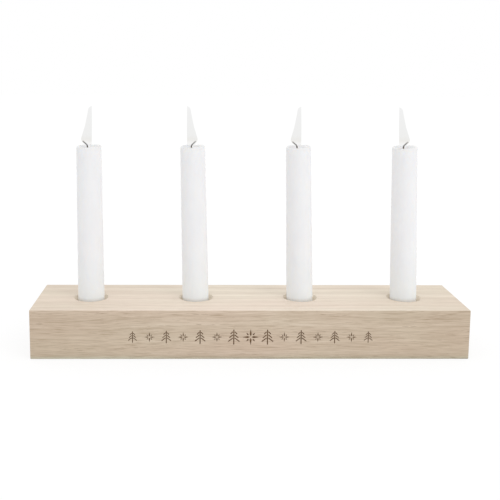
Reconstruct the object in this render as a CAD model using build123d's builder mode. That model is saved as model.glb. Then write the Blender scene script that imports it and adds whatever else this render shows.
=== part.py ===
"""Advent candle holder: an oak block with a row of countersunk sockets, each holding a lit dinner candle.

Millimetres, +Z up. The origin is the centre of the block's underside, the row of candles runs along X
and the front of the block faces -Y.
"""

import math
import os

from build123d import *

# Block
candle_count = 4
candle_pitch = 87.2  # between the axes of neighbouring candles
end_margin = 44.2  # from the axis of an outer candle to the end of the block
block_width = 75.0
block_height = 40.0
edge_radius = 0.5  # eased edges of the block

# Sockets bored into the top of the block, each with a countersunk mouth that catches drips
mouth_width = 2.85  # radial, how far the mouth reaches beyond the socket's wall
mouth_depth = 3.8
socket_floor = 12.0  # wood left under each socket
socket_clearance = 0.3  # radial, between a socket's wall and the foot of its candle

# Candles
candle_foot_diameter = 22.1
candle_top_diameter = 20.1
candle_length = 155.0
candle_foot_chamfer = 1.0
candle_shoulder_radius = 1.2

# Hollow that the flame has melted into the top of each candle
pool_depth = 2.8  # below the rim
pool_sphere_radius = 17.0
pool_shift_left = 2.0  # the rim is melted lowest at the left
pool_shift_front = 1.8

# Wicks
wick_diameter = 1.2
wick_clearance = 0.05  # radial, between the wick and the wax
wick_stub = 1.6  # straight length that stands out of the melted hollow
wick_bend_radius = 3.0
wick_bend_angle = 48.0
wick_tip_length = 3.9  # straight length above the bend

# Flames: a round belly that narrows as a straight cone to the tip
flame_belly_radius = 4.2
flame_length = 33.0  # along its own axis, from the lowest point to where the cone would close
flame_tip_radius = 0.3
flame_tilt = 8.0  # from upright, away from the bend of the wick
flame_root_length = 1.9  # how far above the bend of the wick the flame is rooted

# Values that follow from the sizes above
block_length = (candle_count - 1) * candle_pitch + 2 * end_margin
candle_foot_radius = candle_foot_diameter / 2
candle_top_radius = candle_top_diameter / 2
socket_radius = candle_foot_radius + socket_clearance
mouth_radius = socket_radius + mouth_width
mouth_angle = 2 * math.degrees(math.atan2(mouth_width, mouth_depth))
wick_radius = wick_diameter / 2
wick_bore_radius = wick_radius + wick_clearance
wick_bend_height = candle_length - pool_depth + wick_stub  # above the foot of the candle


def export(builder, name):
    builder.part.label = name
    export_step(builder.part, f"parts/{name}.step")


def make_block():
    with BuildPart() as block:
        with BuildSketch():
            Rectangle(block_length, block_width)
        extrude(amount=block_height)
        fillet(block.edges(), radius=edge_radius)
        with Locations(Plane.XY.offset(block_height)):
            with GridLocations(candle_pitch, 0, candle_count, 1):
                CounterSinkHole(
                    radius=socket_radius,
                    counter_sink_radius=mouth_radius,
                    depth=block_height - socket_floor,
                    counter_sink_angle=mouth_angle,
                )
    return block


def make_candle(section):
    """A tapered candle, drawn as a section in an upright plane with its foot at the plane's origin."""
    shoulder_height = candle_length - candle_shoulder_radius
    with BuildPart() as candle:
        with BuildSketch(section):
            with BuildLine():
                Polyline(
                    (wick_bore_radius, candle_length),
                    (wick_bore_radius, 0),
                    (candle_foot_radius - candle_foot_chamfer, 0),
                    (candle_foot_radius, candle_foot_chamfer),
                    (candle_top_radius, shoulder_height),
                )
                shoulder = RadiusArc(
                    (candle_top_radius, shoulder_height),
                    (candle_top_radius - candle_shoulder_radius, candle_length),
                    -candle_shoulder_radius,
                )
                Line(shoulder @ 1, (wick_bore_radius, candle_length))
            make_face()
        revolve(axis=Axis(section.origin, section.y_dir))
        pool_height = candle_length - pool_depth + pool_sphere_radius
        pool_centre = section.from_local_coords((-pool_shift_left, pool_height, pool_shift_front))
        with Locations(pool_centre):
            Sphere(pool_sphere_radius, mode=Mode.SUBTRACT)
    return candle


def make_wick(section, curl):
    """A round wick, upright inside the wax and then bent to the left (curl 1) or to the right (-1)."""
    with BuildPart() as wick:
        with BuildLine(section):
            stem = Line((0, 0), (0, wick_bend_height))
            turn = curl * wick_bend_angle
            bend = JernArc(start=stem @ 1, tangent=stem % 1, radius=wick_bend_radius, arc_size=turn)
            Line(bend @ 1, bend @ 1 + bend % 1 * wick_tip_length)
        with BuildSketch(Plane(section.origin, z_dir=section.y_dir)):
            Circle(wick_radius)
        sweep()
    return wick


def make_flame(section, curl, wick):
    """A flame rooted on the tip of the wick, leaning away from the wick's bend and shaped round the wick."""
    turn = math.radians(wick_bend_angle)
    root_reach = wick_bend_radius * (1 - math.cos(turn)) + flame_root_length * math.sin(turn)
    root_rise = wick_bend_radius * math.sin(turn) + flame_root_length * math.cos(turn)
    root = section.from_local_coords((-curl * root_reach, wick_bend_height + root_rise))
    tilt = curl * math.radians(flame_tilt)
    axis_plane = Plane(root, x_dir=(math.cos(tilt), 0, -math.sin(tilt)), z_dir=section.z_dir)
    cone_angle = math.asin(flame_belly_radius / (flame_length - flame_belly_radius))
    tip_height = flame_length - flame_tip_radius / math.tan(cone_angle)
    with BuildPart() as flame:
        with BuildSketch(axis_plane):
            with BuildLine():
                belly = CenterArc(
                    center=(0, flame_belly_radius),
                    radius=flame_belly_radius,
                    start_angle=-90,
                    arc_size=90 + math.degrees(cone_angle),
                )
                Polyline(belly @ 1, (flame_tip_radius, tip_height), (0, tip_height), belly @ 0)
            make_face()
        revolve(axis=Axis(axis_plane.origin, axis_plane.y_dir))
        add(wick.part, mode=Mode.SUBTRACT)
    return flame


os.makedirs("parts", exist_ok=True)
export(make_block(), "block")

for number in range(1, candle_count + 1):
    seat_x = (number - (candle_count + 1) / 2) * candle_pitch
    section = Plane((seat_x, 0, socket_floor), x_dir=(1, 0, 0), z_dir=(0, -1, 0))
    curl = 1 if number % 2 else -1  # neighbouring wicks bend opposite ways
    wick = make_wick(section, curl)
    export(make_candle(section), f"candle_{number}")
    export(wick, f"wick_{number}")
    export(make_flame(section, curl, wick), f"flame_{number}")
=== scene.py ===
import math

import bmesh
import bpy
from mathutils import Matrix, Vector, noise


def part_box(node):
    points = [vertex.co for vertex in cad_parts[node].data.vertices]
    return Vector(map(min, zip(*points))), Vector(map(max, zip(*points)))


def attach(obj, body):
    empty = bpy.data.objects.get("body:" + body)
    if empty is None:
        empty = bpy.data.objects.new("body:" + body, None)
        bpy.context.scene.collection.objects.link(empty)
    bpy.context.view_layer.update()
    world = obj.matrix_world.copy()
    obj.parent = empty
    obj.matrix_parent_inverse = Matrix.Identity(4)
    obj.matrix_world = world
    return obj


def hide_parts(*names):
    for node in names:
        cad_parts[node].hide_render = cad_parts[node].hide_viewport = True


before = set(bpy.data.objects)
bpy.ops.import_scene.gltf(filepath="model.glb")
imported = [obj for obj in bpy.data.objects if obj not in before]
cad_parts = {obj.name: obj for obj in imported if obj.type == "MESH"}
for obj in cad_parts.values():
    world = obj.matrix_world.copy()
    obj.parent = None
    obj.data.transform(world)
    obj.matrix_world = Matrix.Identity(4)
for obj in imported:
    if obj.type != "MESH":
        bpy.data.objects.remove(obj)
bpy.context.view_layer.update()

# Places from the frame, in metres: the row of candles runs along X and the front faces -Y
MM = 0.001
CANDLES = (1, 2, 3, 4)
BLOCK_LOW, BLOCK_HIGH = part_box("block")
CANDLE_LOW, CANDLE_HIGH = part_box("candle_1")
FRONT = BLOCK_LOW.y
TOP = BLOCK_HIGH.z
SOCKET_FLOOR = CANDLE_LOW.z

# Block, with a countersunk mouth on each socket
EDGE_RADIUS = 0.5 * MM
SOCKET_CLEARANCE = 0.3 * MM
SOCKET_RADIUS = (CANDLE_HIGH.x - CANDLE_LOW.x) / 2 + SOCKET_CLEARANCE
MOUTH_WIDTH = 2.85 * MM
MOUTH_DEPTH = 3.8 * MM
SOCKET_SIDES = 128
CUT_CLEAR = 1.0 * MM  # how far a cutter stands out of the face that it cuts

# Oak, in mm: the tree's pith behind and under the block, its rings, and where along the trunk it was cut
PITH_Y = 110.0
PITH_Z = -85.0
RING_WIDTH = 2.7
GRAIN_SHIFT = 450.0

# Candles
CANDLE_SIDES = 96
CANDLE_TOP_RADIUS = 10.05 * MM
CANDLE_FOOT_ROUND = 1.0 * MM
CANDLE_SHOULDER = 1.5 * MM

# Hollow melted into the top of each candle
POOL_DEPTH = 2.8 * MM
POOL_SPHERE = 17.0 * MM
POOL_SHIFT = Vector((-2.0, -1.8)) * MM
POOL_LUMP = 0.2 * MM
POOL_LUMP_SPREAD = 6 * MM
RIM_BLEND = 0.5 * MM
WAX_CLIMB = 0.5 * MM  # how far the wax climbs at the wick
WAX_CLIMB_REACH = 0.7 * MM

# How far each candle leans to the right in the play of its socket, in degrees, or to the left if below 0
CANDLE_LEAN = {1: -0.1, 2: -1.25, 3: -1.6, 4: -1.6}
LEAN_PIVOT = 11.4 * MM  # height above the socket's floor about which a candle leans

# Wicks: each leaves the wax left of the middle, and bends over a short way up
WICK_SIDES = 24
WICK_RADIUS = 0.6 * MM
WICK_BORE = 0.9 * WICK_RADIUS  # tight, so that no gap shows between the wick and the wax
WICK_SHIFT = -1.1 * MM
WICK_DRIFT_SHARE = 0.9  # share of the candle's length in which the wick drifts off its middle
WICK_STUB = 1.6 * MM
WICK_BEND_RADIUS = 3.0 * MM
WICK_BEND_ANGLE = math.radians(48)
WICK_TIP = 3.9 * MM
WICK_BLUNT = 0.5 * MM
WICK_BRAID_PITCH = 0.32 * MM
WICK_BRAID_DEPTH = 0.1

# Lengths along a wick from the level of its candle's top
WICK_BEND_START = WICK_STUB - POOL_DEPTH
WICK_BEND_END = WICK_BEND_START + WICK_BEND_RADIUS * WICK_BEND_ANGLE
WICK_END = WICK_BEND_END + WICK_TIP
WICK_FINE_START = WICK_BEND_START - 3 * MM

# Flames: heights from the candle's top, and one upright edge at a distance from the wick
FLAME_SIDES = 40
FLAME_RADIUS = 4.2 * MM
FLAME_FOOT = -1.0 * MM
FLAME_HEIGHT = 32.9 * MM
FLAME_EDGE = 3.3 * MM
FLAME_SWAY = 0.2 * MM
FLAME_FOOT_DENSITY = 0.3
FLAME_BODY_DENSITY = 0.96

# Share of the flame's height, and of its greatest radius, from the foot to the tip
FLAME_PROFILE = (
    (0.0, 0.0),
    (0.06, 0.68),
    (0.16, 1.0),
    (0.26, 0.95),
    (0.5, 0.68),
    (0.8, 0.43),
    (0.96, 0.27),
    (1.0, 0.03),
)

# How far each flame leans to the right, in degrees, or to the left if below 0
FLAME_LEAN = {1: 1.1, 2: -0.2, 3: -1.15, 4: -2.25}

# Engraved ornament on the front: a row of little fir trees and stars
ORNAMENT_HEIGHT = 18.2 * MM
ORNAMENT_PITCH = 13.4 * MM
ORNAMENT_SIDE_COUNT = 7
STROKE_SHARE = 0.08
STROKE_DEPTH = 0.4 * MM
TREE_HEIGHT = 12.0 * MM
TREE_SHRINK = 0.04  # share of its height that a tree loses with each place from the middle
STAR_RADIUS = 4.2 * MM
CENTRE_STAR_RADIUS = 6.6 * MM

# Studio
WHITE = (1.0, 1.0, 1.0, 1.0)
WORLD_LEVEL = 0.99
FLOOR_SIZE = 6.0
FLOOR_GAP = 0.2 * MM
FLOOR_COLOUR = (0.78, 0.78, 0.78, 1.0)
FLOOR_GLOW = 1.07
FLOOR_GLOW_SHARE = 0.78
LAMP_PLACE = Vector((2.4, -2.4, 2.2))
LAMP_TARGET = Vector((0.0, 0.0, 0.08))
LAMP_SIZE = 2.4
LAMP_POWER = 24.0

# Camera: focal length and principal point in pixels of the 500 pixel frame
FRAME_PIXELS = 500
FOCAL_PIXELS = 789.4
PRINCIPAL_X = 210.5
PRINCIPAL_Y = 180
CAMERA_PLACE = Vector((-43.3, -640.6, 229.5)) * MM
CAMERA_PITCH = math.radians(8.05)
CAMERA_YAW = math.radians(1.01)
CAMERA_ROLL = math.radians(0.34)
SENSOR_WIDTH = 36.0


def linear(level):
    """A colour level as it shows on screen, from 0 to 255, as the linear value that shaders take."""
    share = level / 255
    if level <= 10:
        return share / 12.92
    return ((share + 0.055) / 1.055) ** 2.4


def srgb(red, green, blue):
    return (linear(red), linear(green), linear(blue), 1.0)


class Shader:
    """A new Principled material, and short calls that add nodes to it and return their outputs."""

    def __init__(self, name):
        self.material = bpy.data.materials.new(name)
        self.material.use_nodes = True
        self.tree = self.material.node_tree
        self.surface = next(n for n in self.tree.nodes if n.type == "BSDF_PRINCIPLED")

    def put(self, socket, value):
        if isinstance(value, bpy.types.NodeSocket):
            self.tree.links.new(value, socket)
        else:
            socket.default_value = value

    def set(self, **values):
        for name, value in values.items():
            self.put(self.surface.inputs[name.replace("_", " ")], value)

    def add(self, kind, *inputs, **settings):
        node = self.tree.nodes.new(kind)
        for name, value in settings.items():
            setattr(node, name, value)
        for socket, value in zip(node.inputs, inputs):
            self.put(socket, value)
        return node

    def place(self):
        """The shaded point in the piece's own coordinates, in mm."""
        coordinates = self.add("ShaderNodeTexCoord").outputs["Object"]
        node = self.add("ShaderNodeVectorMath", coordinates, operation="SCALE")
        self.put(node.inputs["Scale"], 1 / MM)
        return node.outputs["Vector"]

    def facing(self):
        """The direction that the surface faces, in the piece's own coordinates."""
        return self.add("ShaderNodeTexCoord").outputs["Normal"]

    def math(self, operation, *values):
        return self.add("ShaderNodeMath", *values, operation=operation).outputs[0]

    def vector(self, operation, a, b):
        return self.add("ShaderNodeVectorMath", a, b, operation=operation).outputs["Vector"]

    def length(self, vector):
        return self.add("ShaderNodeVectorMath", vector, operation="LENGTH").outputs["Value"]

    def dot(self, a, b):
        return self.add("ShaderNodeVectorMath", a, b, operation="DOT_PRODUCT").outputs["Value"]

    def split(self, vector):
        return self.add("ShaderNodeSeparateXYZ", vector).outputs

    def join(self, x, y, z):
        return self.add("ShaderNodeCombineXYZ", x, y, z).outputs[0]

    def noise(self, vector, stretch, detail=2.0, roughness=0.5, output="Fac"):
        node = self.add("ShaderNodeTexNoise")
        self.put(node.inputs["Vector"], self.vector("MULTIPLY", vector, stretch))
        self.put(node.inputs["Scale"], 1.0)
        self.put(node.inputs["Detail"], detail)
        self.put(node.inputs["Roughness"], roughness)
        return node.outputs[output]

    def cells(self, vector, stretch):
        node = self.add("ShaderNodeTexVoronoi")
        self.put(node.inputs["Vector"], self.vector("MULTIPLY", vector, stretch))
        self.put(node.inputs["Scale"], 1.0)
        return node.outputs["Distance"]

    def rescale(self, value, low, high, to_low=0.0, to_high=1.0, smooth=False):
        kind = "SMOOTHSTEP" if smooth else "LINEAR"
        node = self.add("ShaderNodeMapRange", value, low, high, to_low, to_high, interpolation_type=kind)
        return node.outputs[0]

    def ramp(self, value, *stops):
        node = self.add("ShaderNodeValToRGB", value)
        points = node.color_ramp.elements
        while len(points) < len(stops):
            points.new(1.0)
        for point, (position, colour) in zip(points, stops):
            point.position = position
            point.color = colour
        return node.outputs["Color"]

    def mix(self, share, a, b, blend="MIX"):
        """Mixes two colours, through the sockets of the Mix node that are for colours."""
        node = self.add("ShaderNodeMix", data_type="RGBA", blend_type=blend)
        self.put(node.inputs["Factor"], share)
        self.put(node.inputs[6], a)
        self.put(node.inputs[7], b)
        return node.outputs[2]

    def tint(self, share, colour, tint):
        return self.mix(share, colour, tint, "MULTIPLY")

    def bump(self, height, strength, distance):
        node = self.add("ShaderNodeBump")
        self.put(node.inputs["Height"], height)
        self.put(node.inputs["Strength"], strength)
        self.put(node.inputs["Distance"], distance)
        return node.outputs["Normal"]


def growth_rings(s, grain):
    """How far through its year the wood at a point grew, from 0 to 1, and a random value for that year."""
    _, y, z = s.split(grain)
    from_pith = s.join(0.0, s.math("SUBTRACT", y, PITH_Y), s.math("SUBTRACT", z, PITH_Z))
    radius = s.length(from_pith)
    uneven = s.noise(s.join(radius, 0.0, 0.0), (0.11, 1, 1))
    ring = s.math("ADD", s.math("DIVIDE", radius, RING_WIDTH), s.math("MULTIPLY", uneven, 3.0))
    year = s.add("ShaderNodeTexWhiteNoise", noise_dimensions="1D")
    s.put(year.inputs["W"], s.math("FLOOR", ring))
    return s.math("FRACT", ring), year.outputs["Value"]


def oak_tone(s, grain, streaks, fibres, fine_share):
    """Lightness of the wood without its rings: fine lines along the grain, over broad bands."""
    lines = s.noise(grain, (0.065, 1.8, 1.8))
    fine = s.rescale(streaks, 0.3, 0.7, -0.13, 0.13)
    fine = s.math("ADD", fine, s.rescale(lines, 0.28, 0.55, -0.28, 0.11))
    fine = s.math("ADD", fine, s.rescale(fibres, 0.3, 0.7, -0.06, 0.06))
    broad = s.noise(grain, (0.004, 0.13, 0.13))
    tone = s.math("MULTIPLY_ADD", fine, fine_share, 0.41)
    return s.math("ADD", tone, s.rescale(broad, 0.3, 0.7, 0.0, 0.16))


def oak_pores(s, grain, season):
    """Short pores along the grain, widest in the early wood of each year."""
    room = s.rescale(s.noise(grain, (0.02, 0.7, 0.7)), 0.35, 0.7)
    early = s.rescale(season, 0.5, 0.1, smooth=True)
    width = s.math("MULTIPLY", room, s.rescale(early, 0.0, 1.0, 0.12, 0.34))
    return s.rescale(s.math("SUBTRACT", s.cells(grain, (0.09, 2.1, 2.1)), width), 0.05, -0.03)


def oak_painted_shading(s, colour, place):
    """Painted shade that makes the wood a little darker towards the block's ends and darker and greener low
    down, and painted light on its lowest edge.
    """
    x, _, z = s.split(place)
    half_length = BLOCK_HIGH.x / MM
    # Painted shade towards both ends of the block
    colour = s.tint(s.rescale(s.math("ABSOLUTE", x), 50.0, half_length), colour, srgb(247, 246, 244))
    # Painted shade low down, near the floor
    colour = s.tint(s.rescale(z, 8.0, 0.0, 0.0, 0.4, smooth=True), colour, srgb(206, 208, 198))
    # Painted light that lifts the lowest edge
    return s.tint(s.rescale(z, 2.8, 1.0), colour, (1.04, 1.15, 1.18, 1.0))


def oak():
    """Pale straight-grained oak with fibres and pores along X, with painted light that makes the top face
    lighter and its grain finer.
    """
    s = Shader("oak")
    place = s.place()
    trunk = s.vector("ADD", place, (GRAIN_SHIFT, 0.0, 0.0))
    sway = s.vector("SUBTRACT", s.noise(trunk, (0.007, 0.02, 0.02), 1.0, output="Color"), (0.5, 0.5, 0.5))
    grain = s.vector("ADD", trunk, s.vector("MULTIPLY", sway, (0.0, 7.0, 7.0)))
    facing = s.split(s.facing())
    # Painted light: faces that look up are lightened and their grain and pores made fainter, as if washed
    # out by light from above
    painted_top_light = s.rescale(facing[2], 0.4, 0.95)
    fine_share = s.rescale(painted_top_light, 0.0, 1.0, 1.0, 0.42)

    streaks = s.noise(grain, (0.032, 1.0, 1.0), 4.0, 0.65)
    fibres = s.noise(grain, (0.08, 4.0, 4.0), 3.0, 0.6)
    season, year = growth_rings(s, grain)
    late = s.math("MULTIPLY", s.rescale(season, 0.25, 0.9, smooth=True), s.rescale(season, 1.0, 0.93))
    tone = oak_tone(s, grain, streaks, fibres, fine_share)
    tone = s.math("ADD", tone, s.math("MULTIPLY", year, 0.12))
    tone = s.math("SUBTRACT", tone, s.math("MULTIPLY", late, 0.08))
    colour = s.ramp(
        tone,
        (0.1, srgb(176, 157, 136)),
        (0.4, srgb(198, 181, 162)),
        (0.65, srgb(211, 195, 177)),
        (0.95, srgb(223, 209, 194)),
    )
    patches = s.rescale(s.noise(trunk, (0.008, 0.03, 0.03)), 0.35, 0.65)
    colour = s.tint(0.5, colour, s.mix(patches, srgb(255, 246, 240), srgb(255, 255, 247)))

    pores = oak_pores(s, grain, season)
    pore_share = s.math("MULTIPLY", pores, s.math("MULTIPLY", fine_share, 0.62))
    colour = s.mix(pore_share, colour, srgb(132, 107, 82))
    # Painted light that lightens the top face
    colour = s.tint(painted_top_light, colour, (1.29, 1.38, 1.49, 1.0))
    end_grain = s.rescale(s.math("ABSOLUTE", facing[0]), 0.6, 0.95, 0.0, 0.42)
    colour = s.tint(end_grain, colour, srgb(176, 148, 116))
    # The base colour carries painted shade towards the ends and the floor, and painted light on the lowest
    # edge
    s.set(
        Base_Color=oak_painted_shading(s, colour, place),
        Roughness=s.rescale(streaks, 0.3, 0.7, 0.5, 0.66),
        Specular_IOR_Level=0.3,
        Normal=s.bump(s.math("SUBTRACT", s.math("MULTIPLY", fibres, 0.35), pores), 0.35, 0.15 * MM),
    )
    return s.material


def bored_oak():
    """Oak inside the drilled sockets: rougher than the planed faces, with turning marks, and painted paler
    than them as painted light against the shade in the sockets.
    """
    s = Shader("bored_oak")
    place = s.place()
    fibres = s.noise(place, (0.12, 1.6, 1.6), 4.0, 0.6)
    turning = s.noise(place, (0.05, 0.05, 3.0))
    tone = s.math("ADD", s.math("MULTIPLY", fibres, 0.7), s.math("MULTIPLY", turning, 0.3))
    colour = s.ramp(
        tone,
        (0.3, srgb(226, 212, 191)),
        (0.55, srgb(237, 225, 208)),
        (0.75, srgb(246, 236, 222)),
    )
    s.set(Base_Color=colour, Roughness=0.8, Specular_IOR_Level=0.2, Normal=s.bump(tone, 0.4, 0.15 * MM))
    return s.material


def scorched_oak():
    """The browned floor and walls of lines burnt into the oak."""
    s = Shader("scorched_oak")
    place = s.place()
    fibres = s.noise(place, (0.08, 2.4, 2.4), 4.0, 0.6)
    soot = s.noise(place, (0.4, 0.4, 0.4), 3.0)
    colour = s.ramp(
        s.math("ADD", s.math("MULTIPLY", fibres, 0.6), s.math("MULTIPLY", soot, 0.4)),
        (0.3, srgb(98, 76, 56)),
        (0.55, srgb(127, 102, 78)),
        (0.75, srgb(153, 127, 100)),
    )
    s.set(Base_Color=colour, Roughness=0.85, Specular_IOR_Level=0.15, Normal=s.bump(fibres, 0.4, 0.1 * MM))
    return s.material


def wax_tint_and_painted_shade(s, colour, place, rim):
    """Wax with painted shade greying its top and its rim, a cooler tint low down, and a painted warm
    reflection and shade of the oak where it leaves the socket.
    """
    height = s.split(place)[2]
    block_top = (TOP - CANDLE_HIGH.z) / MM
    # Painted shade on the top of the wax and on its rim
    colour = s.tint(s.rescale(height, -6.0, -1.0, smooth=True), colour, srgb(250, 250, 249))
    colour = s.tint(rim, colour, srgb(240, 240, 239))
    colour = s.tint(s.rescale(height, block_top + 45.0, block_top), colour, srgb(250, 254, 255))
    # Painted warm reflection and shade of the oak, in a band where the candle leaves the socket
    above = s.rescale(height, block_top + 1.8, block_top - 1.0)
    below = s.rescale(height, block_top - 9.0, block_top - 1.0, smooth=True)
    return s.tint(s.math("MULTIPLY", above, below), colour, srgb(240, 235, 229))


def wax():
    """White paraffin wax: cloudy and slightly see-through, and glossier in the melted hollow."""
    s = Shader("wax")
    place = s.place()
    facing = s.facing()
    melted = s.rescale(s.split(facing)[2], 0.1, 0.8, smooth=True)
    outward = s.dot(s.vector("MULTIPLY", place, (1.0, 1.0, 0.0)), facing)
    # Where the rim faces up and out, which takes painted shade
    rim = s.math("MULTIPLY", melted, s.rescale(outward, 0.0, 3.0, smooth=True))
    clouds = s.noise(place, (0.09, 0.09, 0.05), 3.0)
    drag = s.math("MULTIPLY", s.noise(place, (0.8, 0.8, 0.02), 3.0), s.math("SUBTRACT", 1.0, melted))
    tone = s.math("ADD", s.math("MULTIPLY", clouds, 0.8), s.math("MULTIPLY", drag, 0.2))
    colour = s.ramp(tone, (0.3, srgb(237, 237, 239)), (0.65, srgb(241, 241, 242)))
    rough = s.math("SUBTRACT", s.rescale(drag, 0.0, 0.7, 0.46, 0.56), s.math("MULTIPLY", melted, 0.1))
    s.set(
        Base_Color=wax_tint_and_painted_shade(s, colour, place, rim),
        Roughness=rough,
        Specular_IOR_Level=0.2,
        Subsurface_Weight=0.35,
        Subsurface_Radius=(1.0, 0.9, 0.8),
        Subsurface_Scale=4 * MM,
        Normal=s.bump(tone, 0.1, 0.2 * MM),
    )
    return s.material


def wick_cotton():
    """Cotton, waxed and pale inside the candle and charred where it stands out."""
    s = Shader("wick_cotton")
    place = s.place()
    grain = s.noise(place, (2.2, 2.2, 2.2), 3.0, 0.65)
    height = s.math("ADD", s.split(place)[2], s.math("MULTIPLY", s.math("SUBTRACT", grain, 0.5), 1.2))
    foot = WICK_BEND_START / MM
    char = s.ramp(
        s.rescale(height, foot - 2.0, foot + 7.0),
        (0.0, srgb(226, 221, 208)),
        (0.14, srgb(150, 136, 116)),
        (0.24, srgb(86, 79, 72)),
        (0.45, srgb(44, 40, 37)),
        (0.64, srgb(30, 28, 26)),
        (0.75, srgb(54, 51, 48)),
    )
    shade = s.ramp(grain, (0.3, srgb(205, 205, 205)), (0.7, srgb(255, 255, 255)))
    s.set(
        Base_Color=s.tint(1.0, char, shade),
        Roughness=s.rescale(grain, 0.3, 0.7, 0.75, 0.95),
        Specular_IOR_Level=0.2,
        Normal=s.bump(grain, 0.5, 0.15 * MM),
    )
    return s.material


def flame_glow():
    """Burning gas that only glows: thin and faintly blue at the foot, warm by the wick, pale above."""
    s = Shader("flame_glow")
    place = s.place()
    wisps = s.noise(place, (0.4, 0.4, 0.1))
    height = s.math("ADD", s.split(place)[2], s.math("MULTIPLY", s.math("SUBTRACT", wisps, 0.5), 4.0))
    share = s.rescale(height, FLAME_FOOT / MM, (FLAME_FOOT + FLAME_HEIGHT) / MM)
    light = s.ramp(
        share,
        (0.0, srgb(230, 231, 234)),
        (0.12, srgb(234, 232, 228)),
        (0.3, srgb(239, 239, 238)),
        (1.0, srgb(241, 241, 241)),
    )
    rising = s.rescale(share, 0.08, 0.24, FLAME_FOOT_DENSITY, FLAME_BODY_DENSITY, smooth=True)
    fading = s.rescale(share, 0.86, 1.0, 1.0, 0.7, smooth=True)
    s.set(
        Base_Color=(0.0, 0.0, 0.0, 1.0),
        Roughness=1.0,
        Specular_IOR_Level=0.0,
        Emission_Color=light,
        Emission_Strength=1.0,
        Alpha=s.math("MULTIPLY", rising, fading),
    )
    return s.material


def mesh_object(name, bm, material):
    mesh = bpy.data.meshes.new(name)
    bm.to_mesh(mesh)
    bm.free()
    mesh.materials.append(material)
    piece = bpy.data.objects.new(name, mesh)
    bpy.context.scene.collection.objects.link(piece)
    return piece


def smooth(piece, sharp_angle):
    """Smooth shading, but for edges that turn by more than an angle in degrees."""
    piece.data.polygons.foreach_set("use_smooth", [True] * len(piece.data.polygons))
    piece.data.set_sharp_from_angle(angle=math.radians(sharp_angle))


def skin(bm, rings, closed=False):
    """Faces through rings of equally many points, capped at both ends, or joined last to first."""
    rows = [[bm.verts.new(p) for p in ring] for ring in rings]
    following = rows[1:] + rows[:1] if closed else rows[1:]
    for lower, upper in zip(rows, following):
        for i in range(len(lower)):
            j = (i + 1) % len(lower)
            bm.faces.new((lower[i], lower[j], upper[j], upper[i]))
    if not closed:
        bm.faces.new(list(reversed(rows[0])))
        bm.faces.new(rows[-1])


def circle(radius, height, count, centre=(0.0, 0.0)):
    x, y = centre
    turns = [2 * math.pi * i / count for i in range(count)]
    return [Vector((x + radius * math.cos(t), y + radius * math.sin(t), height)) for t in turns]


def quarter_turn(steps):
    return [math.pi / 2 * i / steps for i in range(steps + 1)]


def cut(piece, cutter):
    """Takes the cutter's shape out of the piece, and deletes the cutter."""
    modifier = piece.modifiers.new("cut", "BOOLEAN")
    modifier.operation = "DIFFERENCE"
    modifier.solver = "EXACT"
    modifier.material_mode = "TRANSFER"
    modifier.object = cutter
    depsgraph = bpy.context.evaluated_depsgraph_get()
    result = bpy.data.meshes.new_from_object(piece.evaluated_get(depsgraph))
    piece.modifiers.clear()
    old = piece.data
    piece.data = result
    bpy.data.meshes.remove(old)
    bpy.data.objects.remove(cutter)


def candle_axis(number):
    """The point on the floor's level below the middle of a candle."""
    low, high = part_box(f"candle_{number}")
    return Vector(((low.x + high.x) / 2, (low.y + high.y) / 2, 0.0))


def socket_cutter(material):
    bm = bmesh.new()
    profile = (
        (SOCKET_RADIUS, SOCKET_FLOOR),
        (SOCKET_RADIUS, TOP - MOUTH_DEPTH),
        (SOCKET_RADIUS + MOUTH_WIDTH, TOP),
        (SOCKET_RADIUS + MOUTH_WIDTH, TOP + CUT_CLEAR),
    )
    for number in CANDLES:
        centre = candle_axis(number).xy
        skin(bm, [circle(radius, height, SOCKET_SIDES, centre) for radius, height in profile])
    return mesh_object("socket_cutter", bm, material)


def bar(start, end, width, end_points=6):
    """The outline of a straight stroke with round ends, as points in the front's plane."""
    along = (end - start).normalized()
    outline = []
    for tip, direction in ((end, along), (start, -along)):
        for i in range(end_points + 1):
            turn = math.pi * (i / end_points - 0.5)
            swung = Matrix.Rotation(turn, 2) @ direction
            outline.append(tip + swung * width / 2)
    return outline


def ray(centre, angle, inner, outer, width):
    """The outline of one pointed ray of a star."""
    along = Vector((math.cos(angle), math.sin(angle)))
    side = Vector((-along.y, along.x)) * width / 2
    widest = centre + along * (inner + (outer - inner) * 0.3)
    return [centre + along * inner, widest - side, centre + along * outer, widest + side]


def star_strokes(centre, radius):
    """Four long rays from near the middle, and four short ones standing free between them."""
    strokes = []
    for i in range(4):
        angle = math.pi * i / 2
        between = angle + math.pi / 4
        strokes.append(ray(centre, angle, inner=radius * 0.1, outer=radius, width=radius * 0.26))
        strokes.append(ray(centre, between, inner=radius * 0.34, outer=radius * 0.76, width=radius * 0.2))
    return strokes


def tree_strokes(foot, height):
    """A trunk with three pairs of drooping arms that stand free of it and of each other."""
    width = height * STROKE_SHARE
    arm_width = width * 0.9
    arm_start = width * 1.1
    tier_share = 0.22  # how far the next tier stands above the last, and how much shorter its arms are
    droop = 0.6
    strokes = [bar(foot, foot + Vector((0, height)), width)]
    for tier in range(3):
        rise = height * (0.42 + tier_share * tier)
        reach = height * 0.37 * (1 - tier_share * tier)
        for side in (-1, 1):
            start = foot + Vector((side * arm_start, rise))
            end = foot + Vector((side * reach, rise - reach * droop))
            strokes.append(bar(start, end, arm_width))
    return strokes


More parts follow.
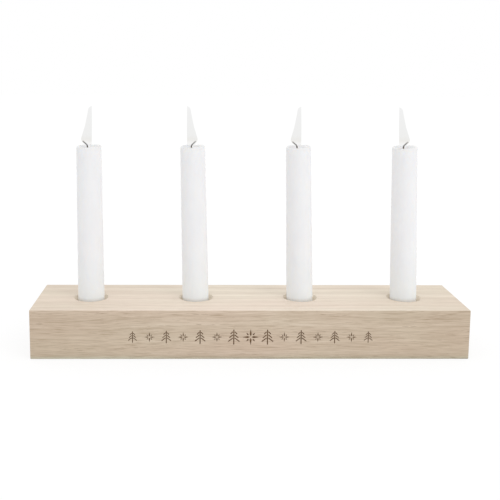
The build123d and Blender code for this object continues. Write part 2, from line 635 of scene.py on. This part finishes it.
def ornament_strokes():
    """A large star in the middle of the front, with trees and small stars by turns on both sides of it."""
    strokes = star_strokes(Vector((0, ORNAMENT_HEIGHT)), CENTRE_STAR_RADIUS)
    for place in range(1, ORNAMENT_SIDE_COUNT + 1):
        for side in (-1, 1):
            x = side * place * ORNAMENT_PITCH
            if place % 2:
                height = TREE_HEIGHT * (1 - TREE_SHRINK * place)
                strokes += tree_strokes(Vector((x, ORNAMENT_HEIGHT - height / 2)), height)
            else:
                strokes += star_strokes(Vector((x, ORNAMENT_HEIGHT)), STAR_RADIUS)
    return strokes


def ornament_cutter(material):
    bm = bmesh.new()
    depths = (FRONT - CUT_CLEAR, FRONT + STROKE_DEPTH)
    for outline in ornament_strokes():
        skin(bm, [[Vector((p.x, y, p.y)) for p in outline] for y in depths])
    bmesh.ops.recalc_face_normals(bm, faces=bm.faces)
    return mesh_object("ornament_cutter", bm, material)


def make_block(wood, bored, scorch):
    bm = bmesh.new()
    bmesh.ops.create_cube(bm, size=1.0)
    bmesh.ops.scale(bm, vec=BLOCK_HIGH - BLOCK_LOW, verts=bm.verts)
    bmesh.ops.translate(bm, vec=(BLOCK_LOW + BLOCK_HIGH) / 2, verts=bm.verts)
    bmesh.ops.bevel(bm, geom=bm.edges[:], offset=EDGE_RADIUS, segments=4, profile=0.5, affect="EDGES")
    block = mesh_object("oak_block", bm, wood)
    cut(block, socket_cutter(bored))
    cut(block, ornament_cutter(scorch))
    smooth(block, 35)
    block.modifiers.new("flat_faces", "WEIGHTED_NORMAL").keep_sharp = True
    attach(block, "block")
    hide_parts("block")


def smooth_min(a, b, blend):
    """The lower of two heights, with the corner between them rounded."""
    mixed = max(blend - abs(a - b), 0.0) / blend
    return min(a, b) - mixed * mixed * blend / 4


def pool_surface(x, y):
    """Height of the melted hollow under the point (x, y), from the middle of the candle's top."""
    away = (Vector((x, y)) - POOL_SHIFT).length
    hollow = POOL_SPHERE - POOL_DEPTH - math.sqrt(max(POOL_SPHERE**2 - away**2, 0.0))
    from_wick = max(math.hypot(x - WICK_SHIFT, y) - WICK_RADIUS, 0.0)
    return hollow + WAX_CLIMB * math.exp(-from_wick / WAX_CLIMB_REACH)


def candle_profile(length, foot_radius):
    """Radius and height of a candle's rings, from the wick's bore round the foot and up to the shoulder."""
    low = -length + CANDLE_FOOT_ROUND
    high = -CANDLE_SHOULDER
    profile = [(WICK_BORE, -length)]
    for turn in quarter_turn(steps=4):
        radius = foot_radius - CANDLE_FOOT_ROUND * (1 - math.sin(turn))
        profile.append((radius, -length + CANDLE_FOOT_ROUND * (1 - math.cos(turn))))
    wall_steps = 30
    for i in range(1, wall_steps):
        share = i / wall_steps
        radius = foot_radius + (CANDLE_TOP_RADIUS - foot_radius) * share
        profile.append((radius, low + (high - low) * share))
    for turn in quarter_turn(steps=8):
        radius = CANDLE_TOP_RADIUS - CANDLE_SHOULDER * (1 - math.cos(turn))
        profile.append((radius, high + CANDLE_SHOULDER * math.sin(turn)))
    return profile


def candle_rings(length, foot_radius):
    """Rings of a tapered candle, from its wick's bore round the outside and back into the melted hollow."""
    rings = [circle(radius, height, CANDLE_SIDES) for radius, height in candle_profile(length, foot_radius)]
    inner = CANDLE_TOP_RADIUS - CANDLE_SHOULDER
    pool_steps = 14
    for i in range(1, pool_steps + 1):
        share = i / pool_steps
        radius = inner + (WICK_BORE - inner) * share
        rings.append(circle(radius, 0.0, CANDLE_SIDES, (WICK_SHIFT * share, 0.0)))
    under_shoulder = -CANDLE_SHOULDER * 1.01
    for ring in rings:
        for p in ring:
            if p.z > under_shoulder:
                lump = noise.noise(Vector((p.x, p.y, length)) / POOL_LUMP_SPREAD) * POOL_LUMP
                p.z = smooth_min(p.z, pool_surface(p.x, p.y) + lump, RIM_BLEND)
    return rings


def candle_top(number):
    """The matrix that takes a piece made round the origin to the middle of a candle's leaning top."""
    low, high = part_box(f"candle_{number}")
    axis = candle_axis(number)
    lean = math.radians(CANDLE_LEAN[number])
    hold = axis + Vector((0.0, 0.0, SOCKET_FLOOR + LEAN_PIVOT))
    foot_rise = Vector((0.0, 0.0, abs(math.sin(lean)) * (high.x - low.x) / 2))
    upright_top = axis + Vector((0.0, 0.0, high.z))
    turn = Matrix.Rotation(lean, 4, "Y")
    return Matrix.Translation(hold + foot_rise) @ turn @ Matrix.Translation(upright_top - hold)


def make_candle(number, material):
    low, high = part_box(f"candle_{number}")
    bm = bmesh.new()
    skin(bm, candle_rings(high.z - low.z, (high.x - low.x) / 2), closed=True)
    candle = mesh_object(f"candle_{number}_wax", bm, material)
    smooth(candle, 50)
    candle.matrix_world = candle_top(number)
    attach(candle, f"candle_{number}")
    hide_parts(f"candle_{number}")


def wick_curl(number):
    """1 where the wick curls to the left, -1 where it curls to the right."""
    return 1 if number % 2 else -1


def wick_path(along, length, curl):
    """The middle of the wick and the direction to its side, at a length along it."""
    turn = min(max(along - WICK_BEND_START, 0.0) / WICK_BEND_RADIUS, WICK_BEND_ANGLE)
    straight = max(along - WICK_BEND_END, 0.0)
    drift = WICK_SHIFT * min((along + length) / (WICK_DRIFT_SHARE * length), 1.0)
    reach = WICK_BEND_RADIUS * (1 - math.cos(turn)) + straight * math.sin(turn)
    rise = WICK_BEND_RADIUS * math.sin(turn) + straight * math.cos(turn)
    middle = Vector((drift - curl * reach, 0.0, min(along, WICK_BEND_START) + rise))
    return middle, Vector((math.cos(turn), 0.0, curl * math.sin(turn)))


def wick_rings(length, curl):
    """Rings along the wick: few inside the wax, many where it stands out, braided and blunt at its end."""
    inside_steps = 12
    inside = [-length * (1 - i / inside_steps) for i in range(inside_steps)]
    inside = [along for along in inside if along < WICK_FINE_START]
    fine_steps = 70
    fine = [WICK_FINE_START + (WICK_END - WICK_FINE_START) * i / fine_steps for i in range(fine_steps + 1)]
    depth = Vector((0.0, 1.0, 0.0))
    rings = []
    for along in inside + fine:
        middle, side = wick_path(along, length, curl)
        blunt = min(1.0, 0.35 + (WICK_END - along) / WICK_BLUNT)
        winding = along / WICK_BRAID_PITCH
        ring = []
        for i in range(WICK_SIDES):
            angle = 2 * math.pi * i / WICK_SIDES
            braid = math.sin(2 * angle + winding) * math.sin(2 * angle - winding)
            radius = WICK_RADIUS * blunt * (1 - WICK_BRAID_DEPTH * (1 - braid))
            ring.append(middle + (side * math.cos(angle) + depth * math.sin(angle)) * radius)
        rings.append(ring)
    return rings


def make_wick(number, material):
    low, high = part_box(f"candle_{number}")
    bm = bmesh.new()
    skin(bm, wick_rings(high.z - low.z, wick_curl(number)))
    wick = mesh_object(f"wick_{number}_braid", bm, material)
    smooth(wick, 60)
    wick.matrix_world = candle_top(number)
    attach(wick, f"candle_{number}")
    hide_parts(f"wick_{number}")


def profile_slope(i):
    """Slope of the flame's profile at one of its stops, from the stops on both sides."""
    before = FLAME_PROFILE[max(i - 1, 0)]
    after = FLAME_PROFILE[min(i + 1, len(FLAME_PROFILE) - 1)]
    return (after[1] - before[1]) / (after[0] - before[0])


def flame_radius(share):
    """The flame's radius at a share of its height, on a smooth curve through the profile."""
    i = max(k for k in range(len(FLAME_PROFILE) - 1) if FLAME_PROFILE[k][0] <= share)
    (x0, y0), (x1, y1) = FLAME_PROFILE[i], FLAME_PROFILE[i + 1]
    span = x1 - x0
    t = (share - x0) / span
    start = (2 * t**3 - 3 * t**2 + 1) * y0 + (t**3 - 2 * t**2 + t) * span * profile_slope(i)
    end = (3 * t**2 - 2 * t**3) * y1 + (t**3 - t**2) * span * profile_slope(i + 1)
    return max(start + end, 0.02) * FLAME_RADIUS


def flame_rings(curl):
    """Rings of a flame with one upright edge, swelling towards the side that the wick curls to."""
    rings = []
    steps = 48
    for i in range(steps + 1):
        share = i / steps
        radius = flame_radius(share)
        edge = FLAME_EDGE + FLAME_SWAY * math.sin(math.pi * share)
        height = FLAME_FOOT + FLAME_HEIGHT * share
        rings.append(circle(radius, height, FLAME_SIDES, (WICK_SHIFT + curl * (edge - radius), 0.0)))
    return rings


def make_flame(number, material):
    bm = bmesh.new()
    skin(bm, flame_rings(wick_curl(number)))
    flame = mesh_object(f"flame_{number}_glow", bm, material)
    smooth(flame, 60)
    root = Matrix.Translation(candle_top(number).translation)
    flame.matrix_world = root @ Matrix.Rotation(math.radians(FLAME_LEAN[number]), 4, "Y")
    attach(flame, f"candle_{number}")
    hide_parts(f"flame_{number}")


def white_for_sight(tree, lit, white):
    """The white shader for what the camera, mirrors and glass see, and the lit one for all other light."""
    path = tree.nodes.new("ShaderNodeLightPath")
    seen = path.outputs["Is Camera Ray"]
    for name in ("Is Glossy Ray", "Is Transmission Ray"):
        either = tree.nodes.new("ShaderNodeMath")
        either.operation = "MAXIMUM"
        tree.links.new(seen, either.inputs[0])
        tree.links.new(path.outputs[name], either.inputs[1])
        seen = either.outputs[0]
    mixed = tree.nodes.new("ShaderNodeMixShader")
    tree.links.new(seen, mixed.inputs[0])
    tree.links.new(lit, mixed.inputs[1])
    tree.links.new(white, mixed.inputs[2])
    return mixed.outputs[0]


def make_floor():
    """A floor that looks white, with enough plain paint in what is seen to hold the object's shadow."""
    bm = bmesh.new()
    bmesh.ops.create_grid(bm, x_segments=1, y_segments=1, size=FLOOR_SIZE)
    material = bpy.data.materials.new("floor")
    material.use_nodes = True
    tree = material.node_tree
    tree.nodes.clear()
    paint = tree.nodes.new("ShaderNodeBsdfDiffuse")
    paint.inputs["Color"].default_value = FLOOR_COLOUR
    glow = tree.nodes.new("ShaderNodeEmission")
    glow.inputs["Color"].default_value = WHITE
    glow.inputs["Strength"].default_value = FLOOR_GLOW
    pale = tree.nodes.new("ShaderNodeMixShader")
    pale.inputs[0].default_value = FLOOR_GLOW_SHARE
    tree.links.new(paint.outputs[0], pale.inputs[1])
    tree.links.new(glow.outputs[0], pale.inputs[2])
    output = tree.nodes.new("ShaderNodeOutputMaterial")
    tree.links.new(white_for_sight(tree, paint.outputs[0], pale.outputs[0]), output.inputs["Surface"])
    floor = mesh_object("floor", bm, material)
    floor.location.z = -FLOOR_GAP


def make_world():
    world = bpy.data.worlds.new("studio")
    bpy.context.scene.world = world
    world.use_nodes = True
    tree = world.node_tree
    tree.nodes.clear()
    lit = tree.nodes.new("ShaderNodeBackground")
    lit.inputs["Color"].default_value = WHITE
    lit.inputs["Strength"].default_value = WORLD_LEVEL
    white = tree.nodes.new("ShaderNodeBackground")
    white.inputs["Color"].default_value = WHITE
    white.inputs["Strength"].default_value = 1.0
    output = tree.nodes.new("ShaderNodeOutputWorld")
    tree.links.new(white_for_sight(tree, lit.outputs[0], white.outputs[0]), output.inputs["Surface"])


def make_lamp():
    light = bpy.data.lights.new("key", "AREA")
    light.shape = "DISK"
    light.size = LAMP_SIZE
    light.energy = LAMP_POWER
    lamp = bpy.data.objects.new("key", light)
    lamp.location = LAMP_PLACE
    lamp.rotation_euler = (LAMP_TARGET - LAMP_PLACE).to_track_quat("-Z", "Y").to_euler()
    bpy.context.scene.collection.objects.link(lamp)


def make_camera():
    data = bpy.data.cameras.new("camera")
    data.sensor_fit = "HORIZONTAL"
    data.sensor_width = SENSOR_WIDTH
    data.lens = SENSOR_WIDTH * FOCAL_PIXELS / FRAME_PIXELS
    data.shift_x = 0.5 - PRINCIPAL_X / FRAME_PIXELS
    data.shift_y = PRINCIPAL_Y / FRAME_PIXELS - 0.5
    data.clip_start = 0.01
    camera = bpy.data.objects.new("camera", data)
    heading = Matrix.Rotation(-CAMERA_YAW, 4, "Z")
    tilt = Matrix.Rotation(math.pi / 2 - CAMERA_PITCH, 4, "X")
    roll = Matrix.Rotation(CAMERA_ROLL, 4, "Z")
    camera.matrix_world = Matrix.Translation(CAMERA_PLACE) @ heading @ tilt @ roll
    bpy.context.scene.collection.objects.link(camera)
    bpy.context.scene.camera = camera


make_block(oak(), bored_oak(), scorched_oak())
wax_material = wax()
wick_material = wick_cotton()
flame_material = flame_glow()
for number in CANDLES:
    make_candle(number, wax_material)
    make_wick(number, wick_material)
    make_flame(number, flame_material)

make_floor()
make_world()
make_lamp()
make_camera()
bpy.context.scene.view_settings.view_transform = "Standard"
